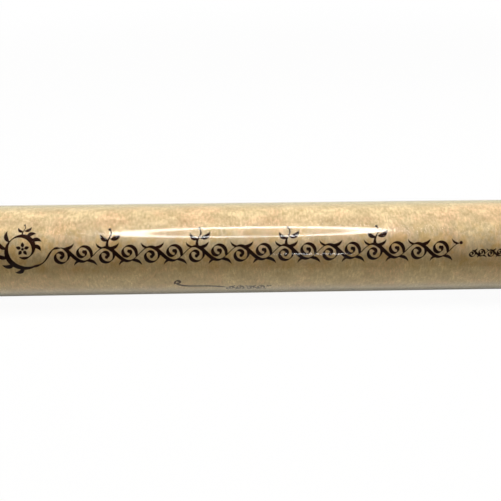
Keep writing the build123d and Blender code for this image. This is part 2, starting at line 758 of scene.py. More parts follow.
def new_group(
    name: str, takes: dict[str, str], gives: dict[str, str]
) -> tuple[NodeDesk, dict[str, Socket]]:
    """Starts a shader node group.

    Args:
        name: The name of the group.
        takes: The socket type of each input, by name.
        gives: The socket type of each output, by name.

    Returns:
        A desk for the group's nodes and what it is given, by name.
    """
    group = bpy.data.node_groups.new(name, "ShaderNodeTree")
    for socket, kind in takes.items():
        group.interface.new_socket(socket, in_out="INPUT", socket_type=kind)
    for socket, kind in gives.items():
        group.interface.new_socket(socket, in_out="OUTPUT", socket_type=kind)
    entry = group.nodes.new("NodeGroupInput")
    return NodeDesk(group), {socket: entry.outputs[socket] for socket in takes}


def closed_group(desk: NodeDesk, results: dict[str, Socket]) -> NodeTree:
    """Joins the results of a group to its output node, and gives the group."""
    desk.fill(desk.tree.nodes.new("NodeGroupOutput"), results)
    return desk.tree


@dataclass(frozen=True)
class SheetPatterns:
    """The node groups that the paper and its ink share. They read the flat place on the sheet."""

    tone: NodeTree
    fibre: NodeTree
    worn_edge: NodeTree

    @staticmethod
    def build() -> "SheetPatterns":
        """Builds each group once."""
        return SheetPatterns(SheetPatterns._tone(), SheetPatterns._fibre(), SheetPatterns._worn_edge())

    @staticmethod
    def _tone() -> NodeTree:
        """Patches of three tones some 10 mm wide, darkened unevenly at 4 mm and again at 1 mm.

        Returns:
            The group.
        """
        takes = {"Vector": VECTOR, "Light": COLOUR, "Warm": COLOUR, "Dull": COLOUR, "Strength": FLOAT}
        desk, given = new_group("parchment_tone", takes, {"Color": COLOUR})
        place, strength = given["Vector"], given["Strength"]
        shifted = desk.stretched(place, (1.0, 1.3, 1.0), (3.1, 7.7, 0.0))
        drawn_out = desk.stretched(place, (1.2, 0.62, 1.0))
        wide = desk.ramp(desk.noise(place, 85.0, 3.0), 0.43, 0.57)
        other = desk.ramp(desk.noise(shifted, 120.0, 4.0), 0.42, 0.62)
        middle = desk.ramp(desk.noise(shifted, 230.0, 3.0), 0.36, 0.64)
        fine = desk.ramp(desk.noise(drawn_out, 1050.0, 3.0, 0.68), 0.32, 0.68)
        colour = desk.blend(desk.times(wide, strength), given["Light"], given["Warm"])
        colour = desk.blend(desk.times(other, strength, 0.75), colour, given["Dull"])
        uneven = desk.math("MULTIPLY_ADD", middle, 0.3, desk.times(fine, 0.48))
        lighter = desk.times(desk.math("SUBTRACT", 0.39, uneven), strength)
        shares = {"Red": 0.92, "Green": 1.05, "Blue": 1.35}
        shades = {name: desk.math("MULTIPLY_ADD", lighter, share, 1.0) for name, share in shares.items()}
        shade = desk.add("CombineColor", shades).outputs[0]
        return closed_group(desk, {"Color": desk.blend(1.0, colour, shade, "MULTIPLY")})

    @staticmethod
    def _fibre() -> NodeTree:
        """Short fibres down the sheet, 0.5 mm wide and 2.4 mm long, broken up by the paper's tooth.

        Returns:
            The group.
        """
        desk, given = new_group("paper_fibre", {"Vector": VECTOR}, {"Streak": FLOAT, "Height": FLOAT})
        streak = desk.noise(desk.stretched(given["Vector"], (2000.0, 420.0, 1.0)), 1.0, 4.0, 0.72)
        tooth = desk.noise(given["Vector"], 2600.0, 3.0, 0.6)
        height = desk.math("MULTIPLY_ADD", streak, 0.6, desk.times(tooth, 0.4))
        return closed_group(desk, {"Streak": desk.ramp(height, 0.41, 0.59), "Height": height})

    @staticmethod
    def _worn_edge() -> NodeTree:
        """A mask that is 1 along the sheet's four edges, ragged, and falls off within 2 mm of them.

        Returns:
            The group.
        """
        takes = {"Vector": VECTOR, "Width": FLOAT, "Height": FLOAT}
        desk, given = new_group("worn_edge", takes, {"Worn": FLOAT})
        gaps = []
        for axis, side in (("X", "Width"), ("Y", "Height")):
            spot = desk.along(given["Vector"], axis)
            gaps.append(desk.math("MINIMUM", spot, desk.math("SUBTRACT", given[side], spot)))
        ragged = desk.math("SUBTRACT", desk.noise(given["Vector"], 420.0, 4.0, 0.65), 0.5)
        off = desk.math("MULTIPLY_ADD", ragged, 0.003, desk.math("MINIMUM", *gaps))
        return closed_group(desk, {"Worn": desk.ramp(off, 0.0018, 0.0)})


@dataclass
class PaperNodes:
    """One paper material in the making: its nodes, its Principled surface and the place it follows."""

    desk: NodeDesk
    surface: Node
    patterns: SheetPatterns
    place: Socket


@dataclass(frozen=True)
class ParchmentFinish:
    """Matte paper, printed to look like old parchment on one face and plainer on the back.

    Levels and reaches are distances down the sheet from its free edge, in metres. The mottling and
    the grain have one strength outside the lower band and another in it.
    """

    light: Colour = (0.93, 0.72, 0.44, 1.0)
    warm: Colour = (0.88, 0.60, 0.36, 1.0)
    dull: Colour = (0.69, 0.53, 0.30, 1.0)
    back: Colour = (0.88, 0.72, 0.47, 1.0)
    core: Colour = (0.80, 0.64, 0.42, 1.0)
    core_dark: Colour = (0.62, 0.46, 0.27, 1.0)
    # Dark brown, for the worn edges and for painted shade in a band along the top of the roll.
    top_shade_and_wear: Colour = (0.56, 0.39, 0.23, 1.0)
    top_shade_level: float = 0.0253
    top_shade_reach: float = 0.0038
    top_shade_share: float = 0.9
    # A darker brown line across the sheet, between the top of the roll and the ornament.
    dark_line: Colour = (0.46, 0.27, 0.13, 1.0)
    dark_line_level: float = 0.0342
    dark_line_reach: float = 0.0021
    dark_line_share: float = 0.42
    ochre: Colour = (0.80, 0.52, 0.20, 1.0)
    ochre_share: float = 0.62
    pale: Colour = (0.88, 0.72, 0.55, 1.0)
    pale_share: float = 0.34
    vine_level: float = 0.0430
    vine_reach: float = 0.0055
    # Painted shade: a dark brown band along the lower edge of the ornament, where the front of the roll is
    # darkest.
    low_shade: Colour = (0.62, 0.38, 0.13, 1.0)
    low_shade_shares: Pair = (0.06, 0.38)
    low_shade_begins: Pair = (0.0440, 0.0473)
    low_shade_ends: Pair = (0.0501, 0.0487)
    # Painted light from the floor below: multiplies the colour of the lower band, lighter and bluer.
    painted_floor_light: Colour = (1.03, 1.08, 1.12, 1.0)
    lower_band_begins: Pair = (0.0437, 0.0487)
    lower_band_ends: Pair = (0.078, 0.064)
    mottling: Pair = (1.12, 0.9)
    grain: Pair = (0.5, 0.9)
    back_share: float = 0.3
    back_mottling: float = 0.55
    back_grain: float = 0.6
    worn_share: float = 0.6
    sheen: Pair = (0.42, 0.52)
    tooth_strength: float = 0.25
    tooth_height: float = 0.00006
    sheet_sides: Pair = (RollPath.sheet_width * MM, RollPath.sheet_height * MM)

    def printed_face(self, patterns: SheetPatterns) -> Material:
        """The outer face: mottled and streaked, with ochre patches and a paler band along the ornament's
        line.

        Painted shade darkens two dark brown bands, broken into blotches: one along the top of the roll and
        one along the lower edge of the ornament, where the front of the roll is darkest. A darker brown
        line runs across the sheet between them. Below the ornament's line is a band with more grain, lifted
        lighter and bluer: painted light from the floor below.

        Args:
            patterns: The sheet's node groups.

        Returns:
            The material.
        """
        material, desk, surface = new_material("parchment_printed")
        place = desk.flat_place()
        paper = PaperNodes(desk, surface, patterns, place)
        down = desk.along(place, "Y")
        lower_band = desk.times(desk.ramp(down, *self.lower_band_begins), desk.ramp(down, *self.lower_band_ends))
        mottling = desk.ramp(lower_band, 0.0, 1.0, self.mottling)
        grain = desk.ramp(lower_band, 0.0, 1.0, self.grain)
        colour = self._toned(paper, mottling, grain)
        # Painted light from the floor below: the lower band is lifted lighter and bluer.
        colour = desk.blend(lower_band, colour, self.painted_floor_light, "MULTIPLY")
        spread = desk.stretched(place, (1.0, 1.6, 1.0), (5.0, 0.0, 0.0))
        blotches = desk.ramp(desk.noise(spread, 150.0, 5.0, 0.7), 0.36, 0.68, (0.25, 1.0))
        moved = desk.stretched(place, (1.2, 0.9, 1.0), (9.0, 2.0, 0.0))
        patch = desk.ramp(desk.noise(moved, 230.0, 3.0), 0.45, 0.61)
        # Painted shade: a dark brown band along the top of the roll, broken into blotches.
        top_shade_and_wear = self._band(desk, down, self.top_shade_level, self.top_shade_reach)
        # A darker brown line across the sheet, broken into blotches.
        dark_line = self._band(desk, down, self.dark_line_level, self.dark_line_reach)
        vine = self._band(desk, down, self.vine_level, self.vine_reach)
        in_patches = desk.times(vine, patch)
        # Painted shade along the lower edge of the ornament, broken into blotches.
        low_shade = desk.times(desk.ramp(down, *self.low_shade_begins), desk.ramp(down, *self.low_shade_ends))
        layers = [
            (desk.times(top_shade_and_wear, self.top_shade_share, blotches), self.top_shade_and_wear),
            (desk.times(in_patches, self.ochre_share), self.ochre),
            (desk.times(desk.math("SUBTRACT", vine, in_patches), self.pale_share), self.pale),
            (desk.times(low_shade, desk.ramp(blotches, 0.25, 1.0, self.low_shade_shares)), self.low_shade),
            (desk.times(dark_line, self.dark_line_share, blotches), self.dark_line),
        ]
        for share, tint in layers:
            colour = desk.blend(share, colour, tint)
        self._finish(paper, self._worn(paper, colour))
        return material

    def bare_face(self, patterns: SheetPatterns) -> Material:
        """The back of the sheet: the same paper, evener and a little paler.

        Args:
            patterns: The sheet's node groups.

        Returns:
            The material.
        """
        material, desk, surface = new_material("parchment_back")
        paper = PaperNodes(desk, surface, patterns, desk.flat_place())
        toned = self._toned(paper, self.back_mottling, self.back_grain)
        self._finish(paper, self._worn(paper, desk.blend(self.back_share, toned, self.back)))
        return material

    def cut_edge(self, patterns: SheetPatterns) -> Material:
        """The cut edge, where the paper's paler core shows between darker faces.

        Args:
            patterns: The sheet's node groups.

        Returns:
            The material.
        """
        material, desk, surface = new_material("parchment_cut_edge")
        paper = PaperNodes(desk, surface, patterns, desk.object_place())
        tooth = desk.ramp(desk.noise(paper.place, 900.0, 3.0), 0.35, 0.65)
        self._finish(paper, desk.blend(tooth, self.core, self.core_dark))
        return material

    def _worn(self, paper: PaperNodes, colour: Socket) -> Socket:
        """Darkens a colour along the sheet's edges, as from handling.

        Args:
            paper: The nodes of the material.
            colour: The colour.

        Returns:
            The colour with worn edges.
        """
        inputs = {"Vector": paper.place, "Width": self.sheet_sides[0], "Height": self.sheet_sides[1]}
        worn = paper.desk.placed(paper.patterns.worn_edge, inputs).outputs["Worn"]
        return paper.desk.blend(paper.desk.times(worn, self.worn_share), colour, self.top_shade_and_wear)

    def _band(self, desk: NodeDesk, down: Socket, level: float, reach: float) -> Socket:
        """1 along a line across the sheet, falling off beside it as the exponent of minus a square."""
        off = desk.math("DIVIDE", desk.math("SUBTRACT", down, level), reach)
        return desk.math("EXPONENT", desk.times(off, off, -1.0))

    def _toned(self, paper: PaperNodes, mottling: Input, grain: Input) -> Socket:
        """Makes the mottled colour of the paper with its streaks.

        Args:
            paper: The nodes of the material.
            mottling: How strong its patches are.
            grain: How strong its streaks are.

        Returns:
            The colour.
        """
        tones = {"Light": self.light, "Warm": self.warm, "Dull": self.dull, "Strength": mottling}
        tone = paper.desk.placed(paper.patterns.tone, {"Vector": paper.place} | tones).outputs["Color"]
        streak = paper.desk.placed(paper.patterns.fibre, {"Vector": paper.place}).outputs["Streak"]
        return paper.desk.blend(paper.desk.times(streak, grain), tone, self.dull)

    def _finish(self, paper: PaperNodes, colour: Socket) -> None:
        """Joins colour, roughness and tooth to the surface.

        Args:
            paper: The nodes of the material.
            colour: The colour.
        """
        fibre = paper.desk.placed(paper.patterns.fibre, {"Vector": paper.place}).outputs
        paper.desk.fill(paper.surface, {
            "Base Color": colour,
            "Roughness": paper.desk.ramp(fibre["Streak"], 0.0, 1.0, self.sheen),
            "Normal": paper.desk.bumped(fibre["Height"], self.tooth_strength, self.tooth_height),
            "Specular IOR Level": 0.5,
        })


@dataclass(frozen=True)
class InkFinish:
    """Dark brown print, a little uneven, as on paper that took more ink in some places."""

    dense: Colour = (0.013, 0.001, 0.0003, 1.0)
    thin: Colour = (0.045, 0.010, 0.003, 1.0)
    thinned_by_fibre: float = 0.3
    thinned_in_patches: float = 0.6
    roughness: Pair = (0.6, 0.8)
    tooth_strength: float = 0.2
    tooth_height: float = 0.00004

    def material(self, patterns: SheetPatterns) -> Material:
        """Ink that thins in patches and along the paper's fibres.

        Args:
            patterns: The sheet's node groups.

        Returns:
            The material.
        """
        made, desk, surface = new_material("printed_ink")
        place = desk.flat_place()
        fibre = desk.placed(patterns.fibre, {"Vector": place}).outputs
        patch = desk.ramp(desk.noise(place, 300.0, 4.0), 0.42, 0.72)
        patchy = desk.times(patch, self.thinned_in_patches)
        worn = desk.math("MULTIPLY_ADD", fibre["Streak"], self.thinned_by_fibre, patchy)
        desk.fill(surface, {
            "Base Color": desk.blend(worn, self.dense, self.thin),
            "Roughness": desk.ramp(patch, 0.0, 1.0, self.roughness),
            "Normal": desk.bumped(fibre["Height"], self.tooth_strength, self.tooth_height),
            "Specular IOR Level": 0.1,
        })
        return made


@dataclass(frozen=True)
class FilmFinish:
    """Clear glossy film: see-through, mirror sharp, with a grey-green rim where it is seen edge on, partly
    its own tint and partly a painted reflection.
    """

    tint: Colour = (0.985, 0.99, 0.975, 1.0)
    # The rim's colour: partly the film's tint edge on, partly a painted grey-green reflection.
    rim: Colour = (0.62, 0.58, 0.38, 1.0)
    edge: Colour = (0.62, 0.66, 0.60, 1.0)
    edge_pale: Colour = (0.74, 0.77, 0.72, 1.0)
    gloss_index: float = 1.8
    gloss_roughness: float = 0.09
    haze_roughness: float = 0.24
    haze_share: float = 0.3
    ripple_strength: float = 0.35
    ripple_height: float = 0.00008
    rim_facing: Pair = (0.45, 0.95)
    rim_share: float = 0.7
    rim_roughness: Pair = (0.3, 0.42)
    edge_alpha: float = 0.7
    edge_roughness: Pair = (0.3, 0.5)

    def skin(self) -> Material:
        """The film's faces. Its gloss stands for both of its surfaces, so it is on the outer ones.

        Returns:
            The material.
        """
        made, desk, surface = new_material("clear_film")
        place = desk.object_place()
        wavy = desk.noise(desk.stretched(place, (1.0, 2.2, 2.2)), 26.0, 2.0)
        ripple = desk.bumped(wavy, self.ripple_strength, self.ripple_height)
        scuff = desk.ramp(desk.noise(place, 700.0, 4.0), 0.4, 0.8, self.rim_roughness)
        desk.fill(surface, {"Base Color": self.rim, "Specular IOR Level": 0.0, "Roughness": scuff})
        clear = desk.add("BsdfTransparent", {"Color": self.tint})
        facing = desk.add("LayerWeight", {"Blend": 0.5}).outputs["Facing"]
        # The edge-on rim is a matte layer lit by the lamps: partly the film's tint, partly a painted
        # grey-green reflection.
        rim = desk.ramp(facing, *self.rim_facing, (0.0, self.rim_share))
        body = desk.mixed(rim, clear, surface)
        mirror, satin = (
            desk.add("BsdfGlossy", {"Color": WHITE, "Roughness": roughness, "Normal": ripple})
            for roughness in (self.gloss_roughness, self.haze_roughness)
        )
        fresnel = desk.add("Fresnel", {"IOR": self.gloss_index}).outputs[0]
        inside = desk.add("NewGeometry").outputs["Backfacing"]
        share = desk.times(fresnel, desk.math("SUBTRACT", 1.0, inside))
        film = desk.mixed(share, body, desk.mixed(self.haze_share, mirror, satin))
        output = next(node for node in desk.tree.nodes if node.type == "OUTPUT_MATERIAL")
        desk.fill(output, {"Surface": film.outputs[0]})
        return made

    def cut_edge(self) -> Material:
        """The film's cut ends, which gather light and look frosted.

        Returns:
            The material.
        """
        made, desk, surface = new_material("clear_film_cut_edge")
        frost = desk.noise(desk.object_place(), 1500.0, 3.0)
        desk.fill(surface, {
            "Base Color": desk.blend(desk.ramp(frost, 0.35, 0.65), self.edge, self.edge_pale),
            "Roughness": desk.ramp(frost, 0.3, 0.7, self.edge_roughness),
            "Alpha": self.edge_alpha,
        })
        return made


def new_material(name: str) -> tuple[Material, NodeDesk, Node]:
    """Starts a material with a Principled surface joined to its output.

    Args:
        name: The name of the material.

    Returns:
        The material, a desk for its nodes and the Principled node.
    """
    material = bpy.data.materials.new(name)
    desk = NodeDesk.cleared(material)
    surface = desk.add("BsdfPrincipled")
    desk.add("OutputMaterial", {"Surface": surface.outputs[0]})
    return material, desk, surface


# The pieces of the scroll.


@dataclass
class ParchmentSheet:
    """The rolled sheet, one closed body whose two faces follow the roll's curve."""

    path: RollPath
    rows: int = 860
    columns: int = 42
    sharp_degrees: float = 40.0

    def build(self) -> Piece:
        """Lays an even grid of the flat sheet on the roll, once for each face of the paper.

        Returns:
            The sheet.
        """
        down = np.linspace(0.0, self.path.sheet_height, self.rows)[:, None]
        along = np.linspace(0.0, self.path.sheet_width, self.columns)[None, :]
        half = self.path.paper / 2
        skin = Skin(self.path.place(along, down, half), self.path.place(along, down, -half))
        flat = np.stack(np.broadcast_arrays(along, down), axis=-1).reshape(-1, 2)
        return make_piece("parchment_sheet", [skin], np.concatenate([flat, flat]), self.sharp_degrees)

    def dress(self, piece: Piece, finish: ParchmentFinish, patterns: SheetPatterns) -> None:
        """Gives the sheet its printed face, its bare back and its cut edges.

        Args:
            piece: The sheet.
            finish: The finish of its paper.
            patterns: The node groups that the finish uses.
        """
        dress(piece, [finish.printed_face(patterns), finish.bare_face(patterns), finish.cut_edge(patterns)])
        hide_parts("rolled_sheet")
        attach(piece, "root")


@dataclass
class PrintedOrnament:
    """The pen ornament on the outer turn: thin raised strips of ink that follow the paper."""

    path: RollPath
    level: float = 44.1
    vine: Pair = (40.4, 158.0)
    filler_start: float = 161.2
    filler_level: float = 45.2
    filler_pen: Pen = Pen(nib=0.55, hairline=0.17, step=0.16)
    raised: float = 0.014
    sunk: float = 0.01
    layers: int = 12
    layer_step: float = 0.001
    sharp_degrees: float = 40.0

    def parts(self) -> dict[str, list[Mark]]:
        """Draws each part of the ornament. The right half mirrors the left one.

        Returns:
            The strokes of each part, by name.
        """
        width = self.path.sheet_width
        left = OpeningSpray().marks() + VineBand(*self.vine, self.level).marks()
        begin, end = self.filler_start, width - self.filler_start
        filler = VineBand(begin, end, self.filler_level, unit=0.42, sprout_every=0, pen=self.filler_pen)
        fine = FineFlourish().marks()
        return {
            "ink_vine_left": left,
            "ink_vine_right": [mark.mirrored(width / 2) for mark in left],
            "ink_middle_vine": filler.marks(),
            "ink_flourish_left": fine,
            "ink_flourish_right": [mark.mirrored(width / 2) for mark in fine],
        }

    def build(self, name: str, marks: list[Mark]) -> Piece:
        """Makes the strokes of one part as closed strips on the roll.

        Each point of a stroke's centre line goes half its width to either side. The strokes lie
        at slightly different heights, so that none shares a face with its neighbour.

        Args:
            name: The name of the part.
            marks: Its strokes.

        Returns:
            The part.
        """
        skins, flat = [], []
        surface = self.path.paper / 2
        for number, mark in enumerate(marks):
            way = np.gradient(mark.centre, axis=0)
            way /= np.linalg.norm(way, axis=1)[:, None] + 1e-12
            across = np.column_stack([-way[:, 1], way[:, 0]]) * mark.half_width[:, None]
            sides = np.stack([mark.centre - across, mark.centre + across], axis=1)
            top = surface + self.raised + self.layer_step * (number % self.layers)
            upper = self.path.place(sides[..., 0], sides[..., 1], top)
            lower = self.path.place(sides[..., 0], sides[..., 1], surface - self.sunk)
            skins.append(Skin(upper, lower))
            flat += [sides.reshape(-1, 2), sides.reshape(-1, 2)]
        return make_piece(name, skins, np.concatenate(flat), self.sharp_degrees)

    def dress(self, piece: Piece, ink: Material) -> None:
        """Gives the strokes of one part their ink on every face.

        Args:
            piece: The part.
            ink: The ink.
        """
        dress(piece, [ink, ink, ink])
        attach(piece, "root")


@dataclass
class FilmSleeve:
    """The clear tube round the roll, closed in one skin: outer face, inner face and both cut ends."""

    diameter: float = 28.0
    wall: float = 0.2
    length: float = 360.5
    axis_height: float = 13.34
    flat_depth: float = 0.66
    blend_inset: float = 5.5
    round_steps: int = 200
    blend_steps: int = 12
    flat_steps: int = 6
    stations: int = 30
    sharp_degrees: float = 50.0

    def build(self) -> Piece:
        """Carries the hoop along the roll.

        Returns:
            The sleeve.
        """
        along = np.linspace(-self.length / 2, self.length / 2, self.stations)[:, None]
        hoops = (self._hoop(self.diameter / 2 - inset) for inset in (0.0, self.wall))
        grids = [np.stack(np.broadcast_arrays(along, *hoop.T), axis=-1) for hoop in hoops]
        skin = Skin(*grids, wraps=True)
        return make_piece("film_sleeve", [skin], skin.points()[:, :2], self.sharp_degrees)

    def _hoop(self, radius: float) -> Array:
        """A hoop pressed flat underneath: a round arc, and a tighter arc at each end of the flat.

        Args:
            radius: The radius of the round arc.

        Returns:
            Y and Z of its points.
        """
        flat, blend = flat_spot(self.flat_depth, self.blend_inset)
        top, level = self.axis_height, self.axis_height + self.flat_depth
        tight, tight_level = radius - self.blend_inset, level - self.blend_inset
        right_end, left_end = blend - QUARTER, 3 * QUARTER - blend
        arc = np.linspace(right_end, left_end, self.round_steps)
        left = np.linspace(left_end, 3 * QUARTER, self.blend_steps + 1)[1:]
        right = np.linspace(-QUARTER, right_end, self.blend_steps, endpoint=False)
        bottom = np.linspace(-flat, flat, self.flat_steps + 1)[1:-1]
        pieces = [
            (radius * np.cos(arc), top + radius * np.sin(arc)),
            (-flat + tight * np.cos(left), tight_level + tight * np.sin(left)),
            (bottom, np.full(len(bottom), level - radius)),
            (flat + tight * np.cos(right), tight_level + tight * np.sin(right)),
        ]
        return np.concatenate([np.column_stack(piece) for piece in pieces])

    def dress(self, piece: Piece, finish: FilmFinish) -> None:
        """Gives the film its clear faces and frosted ends.

        Args:
            piece: The sleeve.
            finish: The finish of its film.
        """
        skin = finish.skin()
        dress(piece, [skin, skin, finish.cut_edge()])
        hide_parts("clear_sleeve")
        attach(piece, "root")


# The studio.


@dataclass
class Studio:
    """A white floor under the scroll, two soft lamps over it and what its film reflects.

    Each stop of the mirrored floor is a distance from the roll's middle in tenths of a metre, with
    how bright the film shows the floor there. The dark stops next to the roll are a painted shadow
    under it, and the stops between 0.1 and 0.3 are tinted warm, painted bounce light from the paper.
    """

    floor_reach: float = 3000.0
    floor_white: float = 0.955
    floor_fade: Pair = (0.25, 0.8)
    floor_grey: Colour = (0.8, 0.8, 0.8, 1.0)
    bounce_near: Colour = (0.88, 0.885, 0.94, 1.0)
    bounce_far: Colour = (0.28, 0.25, 0.178, 1.0)
    bounce_ends: Pair = (0.022, 0.010)
    # The first stops, next to the roll, are a painted shadow under it.
    mirrored_stops: tuple[Pair, ...] = (
        (0.05, 0.1), (0.07, 0.22), (0.083, 0.55), (0.1, 0.95), (0.15, 0.76),
        (0.19, 0.6), (0.24, 0.4), (0.3, 0.18), (0.37, 0.03), (0.9, 0.02),
    )
    mirrored_tint: Triple = (1.0, 0.95, 0.86)
    # Painted bounce light from the paper: the mirrored floor is tinted warm between these two stops.
    painted_bounce_tint: Triple = (1.0, 0.87, 0.68)
    painted_bounce_stops: Pair = (0.1, 0.3)
    behind_grey: Colour = (0.85, 0.85, 0.85, 1.0)
    behind_begins: Pair = (0.02, 0.05)
    key_power: float = 4.1
    key_elevation: float = 95.0
    key_beside: float = -60.0
    fill_power: float = 0.40
    fill_elevation: float = 25.0
    fill_beside: float = 210.0
    lamp_distance: float = 520.0
    lamp_size: Pair = (700.0, 260.0)
    lamp_aim: Triple = (-60.0, 0.0, 13.0)
    ambient: float = 0.135
    warmth: Colour = (1.0, 0.8, 0.5, 1.0)
    ring_radii: Pair = (87.0, 127.0)
    ring_centre: Triple = (-68.0, -212.0, 415.0)
    ring_steps: int = 96
    ring_strength: float = 11.5
    ring_ends: Pair = (0.7, 1.0)
    ring_end_gain: float = 1.5
    strip_ends: Pair = (-50.0, -6.0)
    strip_levels: Pair = (53.5, 43.0)
    strip_height: float = 6.0
    strip_front: float = -300.0
    strip_strength: float = 12.0
    drape_reach: float = 900.0
    drape_half_length: float = 1500.0
    drape_levels: Pair = (0.008, 0.4)
    drape_grows: Pair = (-0.45, 0.1)

    def build(self) -> None:
        """Sets up the world, the floor, the lamps and the reflectors."""
        self._world()
        self._floor()
        self._lamp("key_lamp", self.key_power, self.key_elevation, self.key_beside)
        self._lamp("fill_lamp", self.fill_power, self.fill_elevation, self.fill_beside)
        self._ring()
        self._strip()
        self._drape()

    def _world(self) -> None:
        """White where it is seen, mirrored or seen through, and a soft warm grey as light."""
        world = bpy.data.worlds.new("studio_world")
        desk = NodeDesk.cleared(world)
        seen = seen_directly(desk)
        strength = desk.math("MULTIPLY_ADD", seen, 1.0 - self.ambient, self.ambient)
        colour = desk.blend(seen, self.warmth, WHITE)
        light = desk.add("Background", {"Color": colour, "Strength": strength})
        desk.add("OutputWorld", {"Surface": light.outputs[0]})
        bpy.context.scene.world = world

    def _floor(self) -> None:
        """A pale floor that shows white and keeps the scroll's shadow."""
        reach = self.floor_reach
        signs = np.array([(-1.0, -1.0, 0.0), (1.0, -1.0, 0.0), (1.0, 1.0, 0.0), (-1.0, 1.0, 0.0)])
        floor = stage_mesh("floor", reach * signs, np.array([[0, 1, 2, 3]]), SeenBy.EVERYTHING)
        material = bpy.data.materials.new("pale_floor")
        desk = NodeDesk.cleared(material)
        seen = seen_directly(desk)
        place = desk.object_place()
        across = desk.along(place, "Y")
        off = desk.math("ABSOLUTE", across)
        bounced = desk.blend(desk.ramp(off, *self.bounce_ends), self.bounce_far, self.bounce_near)
        matte = desk.add("BsdfDiffuse", {"Color": desk.blend(seen, bounced, self.floor_grey)})
        glow = desk.add("Emission", {"Color": self._mirrored_floor(desk, across, off), "Strength": 1.0})
        away = desk.add("VectorMath", {0: place}, operation="LENGTH").outputs["Value"]
        share = desk.times(seen, desk.ramp(away, *self.floor_fade, (self.floor_white, 1.0)))
        desk.add("OutputMaterial", {"Surface": desk.mixed(share, matte, glow).outputs[0]})
        floor.data.materials.append(material)

    def _mirrored_floor(self, desk: NodeDesk, across: Socket, off: Socket) -> Socket:
        """White to the camera. The film's gloss sees it bright near the roll and behind it.

        Right under the roll the gloss sees a painted shadow, and a little further out a painted warm
        bounce. In front of the roll, what the gloss sees falls off with the distance.

        Args:
            desk: The desk of the floor's nodes.
            across: The distance behind the roll's middle, in metres.
            off: The same distance to either side.

        Returns:
            The floor's colour.
        """
        ramp = desk.add("ValToRGB", {0: desk.times(off, 10.0)})
        stops = ramp.color_ramp.elements
        ramp.color_ramp.interpolation = "EASE"
        for spare in list(stops)[1:]:
            stops.remove(spare)
        near, far = self.painted_bounce_stops
        for number, (where, level) in enumerate(self.mirrored_stops):
            stop = stops.new(where) if number else stops[0]
            stop.position = where
            # Painted bounce light: the stops between the two are tinted warm.
            tint = self.painted_bounce_tint if near < where < far else self.mirrored_tint
            stop.color = tuple(level * share for share in tint) + (1.0,)
        gloss = desk.add("LightPath").outputs["Is Glossy Ray"]
        behind = desk.ramp(across, *self.behind_begins)
        return desk.blend(gloss, WHITE, desk.blend(behind, ramp.outputs[0], self.behind_grey))

    def _lamp(self, name: str, power: float, elevation: float, beside: float) -> None:
        """A long soft lamp that the film doesn't mirror.

        Args:
            name: The name of the lamp.
            power: Its power in watts.
            elevation: Its angle above the floor, in degrees. Past 90 it stands behind the roll.
            beside: Its place along the roll.
        """
        lamp = bpy.data.lights.new(name, "AREA")
        lamp.shape = "RECTANGLE"
        lamp.size, lamp.size_y = (side * MM for side in self.lamp_size)
        lamp.energy = power
        turn = math.radians(elevation)
        back, up = -self.lamp_distance * math.cos(turn), self.lamp_distance * math.sin(turn)
        where = Vector((beside, back, self.lamp_aim[2] + up)) * MM
        aim = Vector([side * MM for side in self.lamp_aim]) - where
        holder = bpy.data.objects.new(name, lamp)
        holder.location = where
        holder.rotation_euler = aim.to_track_quat("-Z", "Y").to_euler()
        holder.visible_glossy = False
        bpy.context.scene.collection.objects.link(holder)

    def _ring(self) -> None:
        """The lamp between two circles whose mirror image is the long loop of light on the film.

        It is brighter towards the two ends of the loop and soft at both of its rims.
        """
        count = self.ring_steps
        turn = np.linspace(0.0, 2.0 * math.pi, count, endpoint=False)
        circle = np.column_stack([np.cos(turn), np.sin(turn), np.zeros(count)])
        centre = np.array(self.ring_centre)
        points = np.concatenate([centre + radius * circle for radius in self.ring_radii])
        number = np.arange(count)
        after = np.roll(number, -1)
        quads = np.stack([number, after, after + count, number + count], axis=-1)
        ring = stage_mesh("ring_reflection", points, quads, SeenBy.GLOSS_ONLY)
        material, desk, glow = glowing("ring_light", self.ring_strength)
        place = desk.object_place()
        off = desk.add("VectorMath", {0: place, 1: (centre * MM).tolist()}, operation="DISTANCE").outputs[1]
        near, far = self.ring_radii
        from_middle = desk.math("ABSOLUTE", desk.math("SUBTRACT", off, (near + far) / 2 * MM))
        away = desk.math("DIVIDE", from_middle, (far - near) / 2 * MM)
        beside = desk.math("SUBTRACT", desk.along(place, "X"), centre[0] * MM)
        side = desk.math("DIVIDE", desk.math("ABSOLUTE", beside), far * MM)
        brighter = self.ring_end_gain * self.ring_strength
        strength = desk.ramp(side, *self.ring_ends, (self.ring_strength, brighter))
        desk.fill(glow, {"Strength": desk.times(desk.ramp(away, 1.0, 0.5), strength)})
        ring.data.materials.append(material)

    def _strip(self) -> None:
        """A faint low strip in front, mirrored as a thin line below the loop."""
        (left, right), (high, low) = self.strip_ends, self.strip_levels
        front, tall = self.strip_front, np.array([0.0, 0.0, self.strip_height])
        lower = np.array([(left, front, high), (right, front, low)])
        corners = np.concatenate([lower, lower[::-1] + tall])
        strip = stage_mesh("strip_reflection", corners, np.array([[0, 1, 2, 3]]), SeenBy.GLOSS_ONLY)
        strip.data.materials.append(glowing("strip_light", self.strip_strength)[0])

